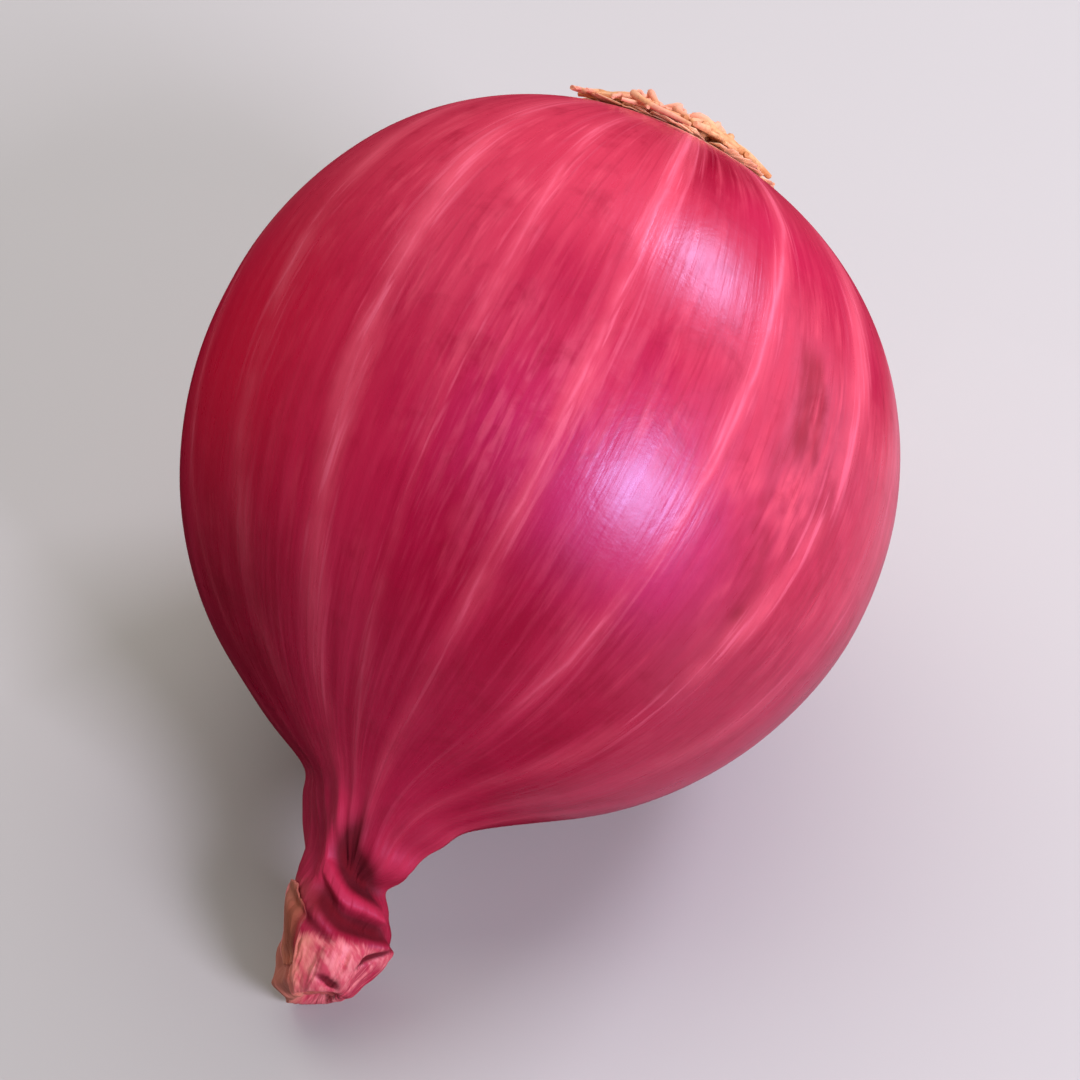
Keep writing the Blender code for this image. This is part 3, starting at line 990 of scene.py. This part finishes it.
def belly_colour(skin, settings):
    """The fleshy skin's colours: two reds in clouds, patches over them, and streaks and flecks."""
    station, fine, smudge = skin.station, skin.fine, skin.smudge
    rootward = ramp(0.42, -0.45, station + 0.60 * (skin.blotch - 0.5) + 0.30 * skin.wander)
    clouded = ramp(0.30, 0.70, skin.blotch)
    base = lay_over(settings.crimson, settings, (clouded, "rose"), (rootward * 0.85, "coral"))
    base = lay_patches(base, settings, skin, MOTTLED_PATCHES, 0.45 + 1.1 * smudge)

    # A milky patch, and a brown streak that runs beside it
    milky = skin.patch(70.0, 0.06, 0.0085) * ramp(0.42, 0.62, fine) * ramp(0.3, 0.6, smudge)
    beside = skin.degrees + 28.5 + 9.6 * (station + 0.30) + 3.0 * (smudge - 0.5)
    brown = ramp(4.2, 2.0, calculate("ABSOLUTE", beside) + 2.0 * (fine - 0.5))
    brown = brown * between(station, -0.52, -0.44, -0.26, -0.14)
    brown = brown * (0.34 + 0.30 * ramp(0.25, 0.60, fine))
    # A flaw with curdled colours, and a speck near it
    flaw = skin.patch(28.0, -0.03, 0.0090)
    curd = skin.streaks(13.0, 5.0)
    speck = skin.patch(28.0, 0.238, 0.0009)
    # Pale tufts along the veins, more of them towards the roots
    tuft = ramp(0.48, 0.68, skin.streaks(20.0, 3.4, 3.0, 0.65)) * ramp(1.0, 0.5, station)
    tuft = tuft * ramp(0.40, 0.62, cloud(skin.place, 120.0, 3.0, 0.6)) * (0.40 + 0.60 * rootward)
    streak = mix_colours(0.25 + 0.75 * rootward, settings.rose, settings.coral)
    base = lay_over(
        base,
        settings,
        (milky * 0.50, "thread"),
        (brown, "bruise"),
        (flaw * ramp(0.52, 0.36, curd) * 0.34, "bruise"),
        (flaw * ramp(0.46, 0.72, curd) * 0.85, "vein"),
        (speck * 0.60, "bruise"),
        (ramp(0.46, 0.70, skin.broad) * 0.50, streak),
        (ramp(0.50, 0.76, smudge) * 0.42, "deep"),
        (tuft * 0.45, "vein"),
        (ramp(0.45, 0.75, fine) * 0.40, streak),
        (ramp(0.50, 0.72, skin.fibre) * 0.25, "deep"),
    )
    return lay_patches(base, settings, skin, CLEAR_PATCHES)


def neck_colour(skin, settings, base):
    """The dry neck's colours over the belly's, with painted shade over it and in its hollows, painted light
    on its raised folds, and the pale collar round the roots.
    """
    station, degrees, fine = skin.station, skin.degrees, skin.fine
    lip = ramp(1.466, 1.500, station + 0.045 * (fine - 0.5) + 0.05 * (skin.blotch - 0.5))
    slanted = skin.turn + 4.0 * station
    crumple = combine(5.0 * cosine(slanted), 5.0 * sine(slanted), station * 14.0)
    crumple = cloud(crumple, detail=3.0, roughness=0.65)
    under = between(degrees, -130.0, -90.0, -40.0, -8.0) * ramp(1.500, 1.545, station)
    amber = ramp(14.0, 50.0, degrees + 60.0 * (crumple - 0.5)) * ramp(190.0, 150.0, degrees)
    tan = between(degrees, 52.0, 84.0, 140.0, 190.0) * (0.7 + 0.6 * skin.smudge)
    tan = tan * ramp(1.33, 1.40, station + 0.06 * (skin.smudge - 0.5))
    collar = ramp(-0.945, -0.975, station + 0.045 * (fine - 0.5) + 0.02 * (skin.fibre - 0.5))
    return lay_over(
        base,
        settings,
        # Painted shade: the dry neck is darkened with deep red, about half as much where it lies more than
        # 70° round one way from its upper side
        (skin.dry * (0.58 - 0.30 * ramp(30.0, 70.0, degrees)), "deep"),
        (skin.dry * ramp(0.40, 0.75, fine) * ramp(1.5, 1.2, station) * 0.50, "rose"),
        (lip * 0.92, "lip"),
        (lip * ramp(0.42, 0.64, crumple) * 0.80, "lip_pale"),
        (lip * ramp(0.50, 0.34, crumple) * 0.55, "ribbon"),
        (lip * ramp(0.55, 0.72, fine) * 0.35, "ribbon"),
        (under * ramp(0.30, 0.55, fine) * 0.80, "crimson"),
        (lip * amber * 0.65, "amber"),
        # Painted shade: a deep red spot 50° round from the neck's upper side, by station 1.385
        (peak(degrees, 50.0, 26.0) * peak(station, 1.385, 0.050) * 0.70, "scale_red"),
        (at_most(1.0, tan) * 0.85, "tan"),
        # The raised folds are laid over with pink: partly their own colour, partly painted light on them
        (skin.crest * 0.65, "ribbon"),
        # Painted shade: the neck's hollows are laid over with a very deep red
        (ramp(0.04, 0.62, skin.hollow) * 0.95, "pit"),
        (collar * 0.9, "collar"),
    )


def skin_material(settings):
    """Thin glossy skin: crimson to magenta, with paler veins that run from root to neck."""
    material, tree, place = start_material("onion_skin")
    skin = SkinFields(tree, place)
    pale, thread, lines = skin_veins(skin)
    fade = 0.26 + 0.74 * ramp(0.90, -0.08, skin.station)
    fade = fade * (1.0 - 0.35 * ramp(30.0, 60.0, skin.degrees))
    veined = lay_over(
        belly_colour(skin, settings),
        settings,
        (at_most(1.0, pale * fade) * 0.95, "vein"),
        (at_most(1.0, lines * fade) * 0.75, "thread"),
    )
    colour = neck_colour(skin, settings, veined)
    roughness = at_least(0.25, 0.31 + 0.20 * (skin.fine - 0.5) + 0.16 * (skin.smudge - 0.5))
    roughness = roughness + 0.22 * skin.dry + 0.50 * skin.hollow
    relief = 0.50 * skin.fine + 0.25 * skin.fibre + 0.20 * pale + 0.12 * thread
    relief = relief + 0.9 * skin.smudge + 0.04 * skin.grain
    tree.nodes["Principled BSDF"].inputs["Specular Tint"].default_value = GLOSS_TINT
    return finish_material(material, colour, roughness, 0.44, relief, 0.55, 0.00012)


def root_material(settings):
    """Dry straw-coloured root fibre, flecked with brown at random."""
    material, _, place = start_material("dry_root")
    broad = cloud(place, 420.0, 3.0, 0.6)
    fine = cloud(place, 2600.0, 2.0, 0.6)
    colour = lay_over(
        settings.straw,
        settings,
        (ramp(0.30, 0.70, broad), "ochre"),
        # Brown flecks at random through the fibre
        (ramp(0.48, 0.75, fine) * 0.5, "brown"),
        (ramp(0.44, 0.58, cloud(place, 130.0)) * 0.75, "blush"),
    )
    return finish_material(material, colour, 0.78, 0.3, 0.6 * fine + broad, 0.8, 0.00010)


def paper_material(settings, pale, brown):
    """Thin dry skin between two colours, with fine fibres."""
    material, _, place = start_material("papery_skin")
    broad = cloud(place, 300.0, 3.0, 0.6)
    fine = cloud(place, 1400.0, 2.0, 0.6)
    fibres = ramp(0.45, 0.70, fine) * 0.35
    colour = lay_over(pale, settings, (ramp(0.35, 0.68, broad), brown), (fibres, "lip"))
    return finish_material(material, colour, 0.55, 0.35, 0.6 * fine + broad, 0.5, 0.00008)


def scale_material(settings):
    """The loose dry scale: a pale torn edge, a tan middle and a redder side."""
    material, tree, place = start_material("loose_scale")
    across, along = read_chart(tree, "scale_map")
    streak = cloud(combine(across * 34.0, along * 2.5, 0.0), 1.0, 3.0, 0.6)
    mottle = cloud(place, 700.0, 3.0, 0.6)
    rim = ramp(0.90, 0.97, across + 0.05 * (mottle - 0.5))
    brink = ramp(0.030, 0.010, along + 0.02 * (mottle - 0.5)) * 0.35 * across
    colour = lay_over(
        settings.scale_brown,
        settings,
        (ramp(0.30, 0.02, across + 0.3 * (streak - 0.5)), "scale_red"),
        (ramp(0.45, 0.85, across + 0.35 * (mottle - 0.5)) * 0.7, "tan"),
        (ramp(0.45, 0.80, along + 0.25 * (streak - 0.5)) * 0.85, "amber"),
        (ramp(0.50, 0.72, streak) * 0.45, "scale_brown"),
        (calculate("MAXIMUM", rim, brink) * 0.75, "lip_pale"),
    )
    return finish_material(material, colour, 0.5, 0.3, 0.7 * streak + 0.5 * mottle, 0.6, 0.00010)


def matt_material(name, colour):
    """A matt, faintly clouded sheet of the stage."""
    material, _, place = start_material(name)
    darker = (*[part * 0.94 for part in colour[:3]], 1.0)
    clouded = mix_colours(cloud(place, 30.0, 3.0, 0.6) * 0.3, colour, darker)
    return finish_material(material, clouded, 0.75, 0.5)


# ------------------------------------------------------------------ settings


def measure(name, description, default, **unit):
    """A size, an angle or a strength, with its unit or subtype where it has one."""
    return bpy.props.FloatProperty(name=name, description=description, default=default, **unit)


def swatch(name, description, *default):
    """A colour, from its red, green and blue."""
    return bpy.props.FloatVectorProperty(
        name=name, description=description, default=(*default, 1.0), size=4, subtype="COLOR", min=0.0, max=1.0
    )


class OnionSkinSettings(bpy.types.PropertyGroup):
    """Sizes and colours of the skin."""

    fold_depth: measure("Fold Depth", "Depth of the neck's four big folds, as a share of its radius", 0.10)
    flattening: measure("Flattening", "How much the neck is pressed flat, as a share of its radius", 0.08)
    neck_twist: measure(
        "Neck Twist", "How far the neck is twisted by its tip", math.radians(-110.0), subtype="ANGLE"
    )
    pleat_depth: measure(
        "Pleat Depth", "Depth of the pleats that the veins end in, as a share of the radius", 0.05
    )
    dent_depth: measure(
        "Dent Depth", "Depth of the broad dents of the belly, as a share of its radius", 0.012
    )
    crimson: swatch("Crimson", "The skin's darker red", 0.37, 0.004, 0.036)
    rose: swatch("Rose", "The skin's lighter red", 0.47, 0.012, 0.056)
    # Partly the skin's purple, partly the painted glow round the lower highlight
    magenta: swatch("Magenta", "The purple patches", 0.54, 0.028, 0.135)
    deep: swatch("Deep Red", "The darkest streaks", 0.27, 0.002, 0.018)
    # Also painted light that lifts the shaded side of the belly
    scarlet: swatch("Scarlet", "The bright deep red of the shaded side", 0.60, 0.004, 0.034)
    coral: swatch("Coral", "The pinker streaks", 0.56, 0.040, 0.078)
    ashen: swatch("Ashen", "The greyer pink patches", 0.46, 0.062, 0.105)
    vein: swatch("Vein", "The pale bands along the veins", 0.74, 0.090, 0.140)
    thread: swatch("Vein Line", "The fine lines in the veins", 0.82, 0.150, 0.230)
    bruise: swatch("Bruise", "The brown streaks and specks", 0.20, 0.010, 0.015)
    # A very deep red that paints the shade in the neck's hollows
    pit: swatch("Pit", "The hollows of the neck", 0.13, 0.002, 0.004)
    ribbon: swatch("Ribbon", "The folds that stand out of the neck", 0.56, 0.022, 0.070)
    lip: swatch("Lip", "The dry end of the neck", 0.68, 0.120, 0.140)
    lip_pale: swatch("Pale Lip", "The papery ridges of the dry end", 0.86, 0.260, 0.260)
    amber: swatch("Amber", "The straw-tinted side of the dry end", 0.72, 0.235, 0.140)
    tan: swatch("Tan", "The straw-brown side of the neck", 0.46, 0.155, 0.100)
    collar: swatch("Collar", "The pale skin round the roots", 0.86, 0.520, 0.300)
    # Also the painted shade of one spot on the neck
    scale_red: swatch("Red Scale", "The redder side of the loose scale", 0.24, 0.022, 0.024)
    scale_brown: swatch("Brown Scale", "The brown part of the loose scale", 0.33, 0.085, 0.048)


class OnionRootSettings(bpy.types.PropertyGroup):
    """Sizes and colours of the roots."""

    strands: bpy.props.IntProperty(
        name="Strands", description="How many roots there are", default=150, min=1
    )
    thickness: measure("Thickness", "Radius of a root where it starts", 0.00036, unit="LENGTH")
    straw: swatch("Straw", "The paler roots", 0.80, 0.44, 0.22)
    ochre: swatch("Ochre", "The browner roots", 0.60, 0.25, 0.09)
    brown: swatch("Brown", "The brown hollows", 0.20, 0.075, 0.03)
    blush: swatch("Blush", "The pinkish roots", 0.84, 0.36, 0.25)


class OnionStageSettings(bpy.types.PropertyGroup):
    """The table, the lights and the camera."""

    azimuth: measure("Azimuth", "The camera's turn round the onion", math.radians(30.3), subtype="ANGLE")
    elevation: measure("Elevation", "The camera's height over the table", math.radians(48.0), subtype="ANGLE")
    distance: measure("Distance", "From the camera to the middle of the bulb", 0.3287, unit="LENGTH")
    lens: measure("Lens", "Focal length in millimetres", 134.2)
    drop: measure("Drop", "How far below the middle of the bulb the camera aims", 0.0066, unit="LENGTH")
    floor: swatch("Table", "The pale table top", 0.47, 0.460, 0.430)
    card: swatch("Card", "The grey card that the gloss shows", 0.27, 0.250, 0.265)
    fill: measure("Fill", "Strength of the even light all round", 0.12)


# ------------------------------------------------------------------ pieces


def make_piece(name, mesh, material):
    """A smooth-shaded object from a bmesh."""
    data = bpy.data.meshes.new(name)
    mesh.to_mesh(data)
    mesh.free()
    data.shade_smooth()
    data.materials.append(material)
    return add_object(name, data)


def thicken(piece, thickness):
    """Give a thin sheet its thickness."""
    wall = piece.modifiers.new("thickness", "SOLIDIFY")
    wall.thickness = thickness
    wall.offset = 0.0
    wall.use_quality_normals = True
    return bake(piece)


def finish_piece(piece, slot, *nodes):
    """Put a finished piece on the onion's one body and hide the model's solids that it stands for; its slot
    is not used.
    """
    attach(piece, "root")
    if nodes:
        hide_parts(*nodes)


def plate_mesh():
    """The knobbly root plate, turned round its own axis ring by ring."""
    crown = RIM_STATION - PLATE_RISE
    under = RIM_STATION + DISH_DEPTH - CLEARANCE / BULB_RADIUS
    edge = RIM_STATION + 0.3 * DISH_DEPTH
    knobbly = RIM_STATION + 0.2 * DISH_DEPTH
    handles = (crown, PLATE_RADIUS * 0.8), (crown + 0.2 * PLATE_RISE, PLATE_RADIUS)
    outline = [(crown, 0.0)]
    outline += bezier((outline[0], *handles, (edge, PLATE_RADIUS)), PLATE_RINGS)
    outline += [(under, PLATE_RADIUS * 0.96), (under, 0.0)]
    mesh = bmesh.new()
    rings = []
    for station, radius in outline:
        ring = []
        for side in range(PLATE_SIDES):
            turn = math.tau * side / PLATE_SIDES
            spoke = Vector((math.cos(turn), math.sin(turn), 0.0)) * radius
            knob = noise.noise((spoke + Vector((0.0, 0.0, station))) * 22.0)
            knob += 0.5 * noise.noise(spoke * 60.0)
            rise = -0.010 * knob if station < knobbly else 0.0
            place = (axis_at(station) + spoke + Vector((0.0, 0.0, rise))) * BULB_RADIUS
            ring.append(mesh.verts.new(LAID_DOWN @ place))
        rings.append(ring)
    for low, high in zip(rings, rings[1:]):
        for corners in zip(low, low[1:] + low[:1], high[1:] + high[:1], high):
            mesh.faces.new(corners)
    bmesh.ops.remove_doubles(mesh, verts=mesh.verts, dist=PLATE_MERGE_DISTANCE)
    bmesh.ops.recalc_face_normals(mesh, faces=mesh.faces)
    return mesh


class OnionAddSkin(bpy.types.Operator):
    """Wrap the bulb in its skin, which runs on into the folded neck"""

    bl_idname = "onion.add_skin"
    bl_label = "Skin"

    def execute(self, context):
        settings = context.scene.onion_skin
        outline = outline_object()
        sizes = {
            "Outline": outline,
            "Segments": SKIN_SEGMENTS,
            "Rings": len(outline.data.vertices) - 1,
            "Bulb radius": BULB_RADIUS,
            "Fold depth": settings.fold_depth,
            "Flattening": settings.flattening,
            "Neck twist": settings.neck_twist,
            "Pleat depth": settings.pleat_depth,
            "Dent depth": settings.dent_depth,
        }
        skin = grow("bulb_skin", skin_shape, skin_material(settings), sizes)
        bpy.data.objects.remove(outline)
        finish_piece(skin, "onion_skin", "bulb")
        return {"FINISHED"}


class OnionAddNeckScales(bpy.types.Operator):
    """Set the loose dry scale beside the neck and the ones rolled up in its end"""

    bl_idname = "onion.add_neck_scales"
    bl_label = "Neck Scales"

    def execute(self, context):
        settings = context.scene.onion_skin
        surface = SkinSurface(bpy.data.objects["bulb_skin"])
        mesh = sheet_mesh(*LOOSE_SCALE_NET, partial(loose_scale_place, surface))
        piece = make_piece("loose_scale", mesh, scale_material(settings))
        finish_piece(thicken(piece, SCALE_THICKNESS), "onion_skin")
        material = paper_material(settings, settings.lip, settings.scale_brown)
        for number, roll in enumerate(ROLLED_SCALES, 1):
            mesh = sheet_mesh(*ROLLED_SCALE_NET, partial(rolled_scale_place, roll))
            piece = make_piece(f"rolled_scale_{number}", mesh, material)
            finish_piece(thicken(piece, ROLLED_THICKNESS), "onion_skin")
        return {"FINISHED"}


class OnionAddRootPlate(bpy.types.Operator):
    """Set the knobbly corky plate that the roots grow from"""

    bl_idname = "onion.add_root_plate"
    bl_label = "Root Plate"

    def execute(self, context):
        plate = make_piece("root_plate", plate_mesh(), root_material(context.scene.onion_roots))
        finish_piece(plate, "dry_roots", "root_tuft")
        return {"FINISHED"}


class OnionAddRoots(bpy.types.Operator):
    """Lay the tuft of dry roots out over the skin"""

    bl_idname = "onion.add_roots"
    bl_label = "Roots"

    def execute(self, context):
        settings = context.scene.onion_roots
        sizes = {
            "Strands": settings.strands,
            "Steps": ROOT_STEPS,
            "Thickness": settings.thickness,
            "Spread": 1.0,
        }
        piece = grow("root_strands", strand_shape, root_material(settings), sizes)
        finish_piece(piece, "dry_roots")
        return {"FINISHED"}


class OnionAddTornSkin(bpy.types.Operator):
    """Set torn tongues of papery skin round the root plate"""

    bl_idname = "onion.add_torn_skin"
    bl_label = "Torn Skin"

    def execute(self, context):
        settings = context.scene.onion_skin
        material = paper_material(settings, settings.collar, settings.tan)
        piece = grow("torn_skin", tongue_shape, material, {"Tongues": TONGUES})
        finish_piece(thicken(piece, TONGUE_THICKNESS), "onion_skin")
        return {"FINISHED"}


class OnionAddStage(bpy.types.Operator):
    """Set the pale table, the soft lights and the camera"""

    bl_idname = "onion.add_stage"
    bl_label = "Table, Lights and Camera"

    def execute(self, context):
        settings = context.scene.onion_stage
        add_table(settings)
        add_lights(settings)
        add_camera(settings)
        return {"FINISHED"}


# ------------------------------------------------------------------ stage


def stage_sheet(name, corners, height, material):
    """A flat sheet of the stage, from one corner's (x, y) to the other's, at a height."""
    (left, near), (right, far) = corners
    points = [(left, near, height), (right, near, height), (right, far, height), (left, far, height)]
    data = bpy.data.meshes.new(name)
    data.from_pydata(points, [], [(0, 1, 2, 3)])
    data.materials.append(material)
    sheet = add_object(name, data)
    return sheet


def add_table(settings):
    """A broad pale table top, and a card on it that only the skin's gloss shows."""
    table = stage_sheet("table", TABLE_CORNERS, 0.0, matt_material("pale_table", settings.floor))
    table.visible_glossy = False
    matt = matt_material("grey_card", settings.card)
    card = stage_sheet("reflector_card", CARD_CORNERS, CARD_HEIGHT, matt)
    card.visible_camera = False
    card.visible_diffuse = False
    card.visible_shadow = False


def add_lights(settings):
    """Soft area lights, and an even pale surround."""
    for name, direction, distance, width, height, power, colour, mirrored in LIGHTS:
        data = bpy.data.lights.new(name, "AREA")
        data.shape = "RECTANGLE"
        data.size = width
        data.size_y = height
        data.energy = power
        data.color = colour
        towards = Vector(direction).normalized()
        light = add_object(name, data)
        light.location = BULB_MIDDLE + towards * distance
        light.rotation_euler = towards.to_track_quat("Z", "Y").to_euler()
        light.visible_glossy = mirrored
    world = bpy.data.worlds.new("soft_surround")
    world.use_nodes = True
    background = world.node_tree.nodes["Background"]
    background.inputs["Color"].default_value = (0.93, 0.94, 1.0, 1.0)
    background.inputs["Strength"].default_value = settings.fill
    world.cycles_visibility.glossy = False
    bpy.context.scene.world = world


def add_camera(settings):
    """A long lens that looks down on the onion from beside its neck."""
    azimuth, elevation = settings.azimuth, settings.elevation
    right = Vector((math.cos(azimuth), math.sin(azimuth), 0.0))
    level = Vector((math.sin(azimuth), -math.cos(azimuth), 0.0))
    back = level * math.cos(elevation) + Vector((0.0, 0.0, math.sin(elevation)))
    up = back.cross(right)
    data = bpy.data.cameras.new("camera")
    data.sensor_width = FILM_WIDTH
    data.lens = settings.lens
    data.clip_start = 0.01
    camera = add_object("camera", data)
    camera.location = BULB_MIDDLE + back * settings.distance
    aim = BULB_MIDDLE - up * settings.drop
    camera.rotation_euler = (camera.location - aim).to_track_quat("Z", "Y").to_euler()
    bpy.context.scene.camera = camera
    bpy.context.scene.view_settings.view_transform = "Standard"


class OnionPanel(bpy.types.Panel):
    """Lists the onion's pieces and their settings"""

    bl_label = "Onion"
    bl_idname = "VIEW3D_PT_onion"
    bl_space_type = "VIEW_3D"
    bl_region_type = "UI"
    bl_category = "Onion"

    def draw(self, context):
        for step in STEPS:
            self.layout.operator(step.bl_idname)
        for group in SETTINGS:
            box = self.layout.box()
            settings = getattr(context.scene, group)
            for name in settings.__annotations__:
                box.prop(settings, name)


SETTINGS = {
    "onion_skin": OnionSkinSettings,
    "onion_roots": OnionRootSettings,
    "onion_stage": OnionStageSettings,
}
STEPS = (
    OnionAddSkin,
    OnionAddNeckScales,
    OnionAddRootPlate,
    OnionAddRoots,
    OnionAddTornSkin,
    OnionAddStage,
)


def register():
    for kind in (*SETTINGS.values(), *STEPS, OnionPanel):
        bpy.utils.register_class(kind)
    for name, kind in SETTINGS.items():
        setattr(bpy.types.Scene, name, bpy.props.PointerProperty(type=kind))


def unregister():
    for name in SETTINGS:
        delattr(bpy.types.Scene, name)
    for kind in (OnionPanel, *STEPS, *SETTINGS.values()):
        bpy.utils.unregister_class(kind)


def main():
    """Build every piece in order."""
    register()
    bpy.ops.onion.add_skin()
    bpy.ops.onion.add_neck_scales()
    bpy.ops.onion.add_root_plate()
    bpy.ops.onion.add_roots()
    bpy.ops.onion.add_torn_skin()
    bpy.ops.onion.add_stage()


if __name__ == "__main__":
    main()
